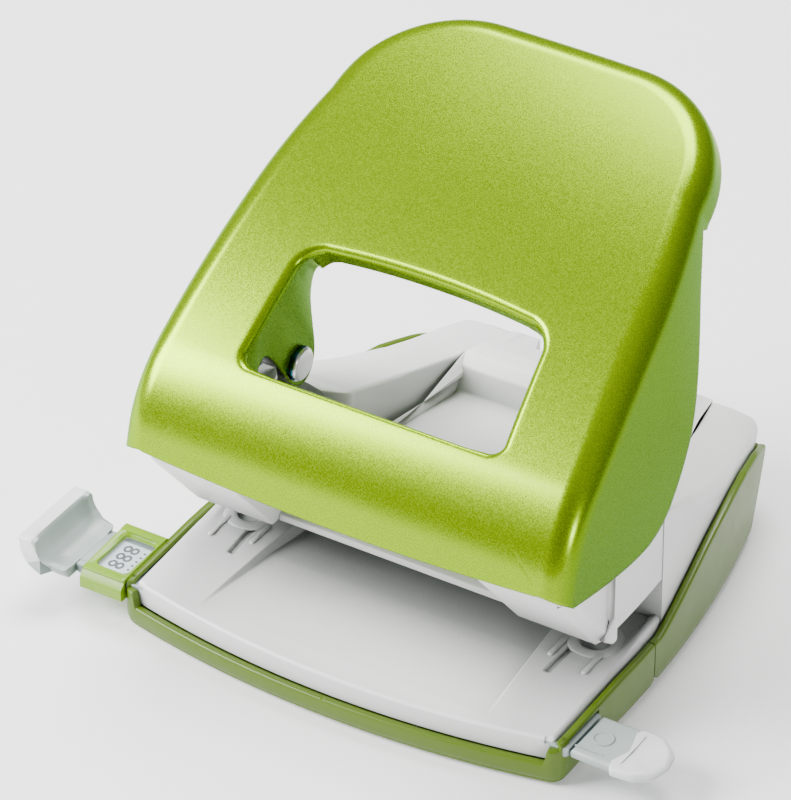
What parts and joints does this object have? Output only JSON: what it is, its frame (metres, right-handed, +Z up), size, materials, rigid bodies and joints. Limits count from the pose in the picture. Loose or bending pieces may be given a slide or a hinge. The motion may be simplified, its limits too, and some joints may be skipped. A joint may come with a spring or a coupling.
{
  "type": "hole punch",
  "caption": "Desk hole punch with a hooded sheet metal lever, sprung punches, a sliding paper guide with an end stop, and a hinged chip tray.",
  "frame": {"origin": "on the desk plane, midway between the two punch axes", "axes": "+X to the user's right, +Y towards the back, +Z up; the paper goes in along +Y"},
  "size_m": [0.1451, 0.1134, 0.1072],
  "materials": {
    "lime_paint": "metallic gloss paint",
    "green_mould": "semi-gloss moulding",
    "sleeve_green": "semi-gloss moulding",
    "white_mould": "fine satin moulding",
    "frosted": "frosted translucent",
    "clear_lens": "clear",
    "label": "printed strip",
    "plated_steel": "zinc plated",
    "bare_steel": "ground",
    "brass": "turned",
    "dark_steel": "blackened",
    "rubber": "matte"
  },
  "bodies": {
    "frame": {"base_shell": "green_mould", "guide_sleeve": "sleeve_green", "sleeve_window": "clear_lens", "paper_table": "white_mould", "left_die": "bare_steel", "right_die": "bare_steel", "left_bracket": "plated_steel", "right_bracket": "plated_steel", "left_fulcrum_pin": "plated_steel", "right_fulcrum_pin": "plated_steel", "fulcrum_spacers": "brass", "bracket_screws": "dark_steel", "housing": "white_mould", "rear_cover": "white_mould", "grip_strip": "rubber", "detent_spring": "bare_steel", "tray_hinge_rod": "bare_steel"},
    "handle": {"handle_shell": "lime_paint", "left_press_pin": "plated_steel", "right_press_pin": "plated_steel", "press_pin_clips": "dark_steel"},
    "punch_left": {"left_punch": "bare_steel", "left_spring": "bare_steel"},
    "punch_right": {"right_punch": "bare_steel", "right_spring": "bare_steel"},
    "guide": {"guide_bar": "frosted", "paper_stop": "white_mould", "format_label": "label"},
    "latch": {"bar_latch": "frosted"},
    "tray": {"chip_tray": "green_mould", "tray_feet": "rubber"}
  },
  "joints": [
    {"name": "handle_press", "type": "hinge", "parent": "frame", "child": "handle", "pos_m": [0, -0.0215, 0.0465], "axis": [-1, 0, 0], "range_deg": [0, 27], "stiffness_Nm_per_rad": 0.95, "springref_deg": -26.93},
    {"name": "left_punch_travel", "type": "slide", "parent": "frame", "child": "punch_left", "axis": [0, 0, -1], "range_m": [0, 0.01041], "deforming": ["left_spring"]},
    {"name": "right_punch_travel", "type": "slide", "parent": "frame", "child": "punch_right", "axis": [0, 0, -1], "range_m": [0, 0.01041], "deforming": ["right_spring"]},
    {"name": "guide_travel", "type": "slide", "parent": "frame", "child": "guide", "axis": [-1, 0, 0], "range_m": [0, 0.0965]},
    {"name": "latch_press", "type": "hinge", "parent": "guide", "child": "latch", "pos_m": [0.0515, 0, 0.0085], "axis": [0, 1, 0], "range_deg": [0, 4], "stiffness_Nm_per_rad": 0.05, "springref_deg": -2.86},
    {"name": "tray_open", "type": "hinge", "parent": "frame", "child": "tray", "pos_m": [0, 0.0073, 0.0027], "axis": [-1, 0, 0], "range_deg": [0, 60]}
  ],
  "couplings": [
    {"joint": "left_punch_travel", "follows": "handle_press", "m_per_rad": 0.02208},
    {"joint": "right_punch_travel", "follows": "handle_press", "m_per_rad": 0.02208}
  ]
}
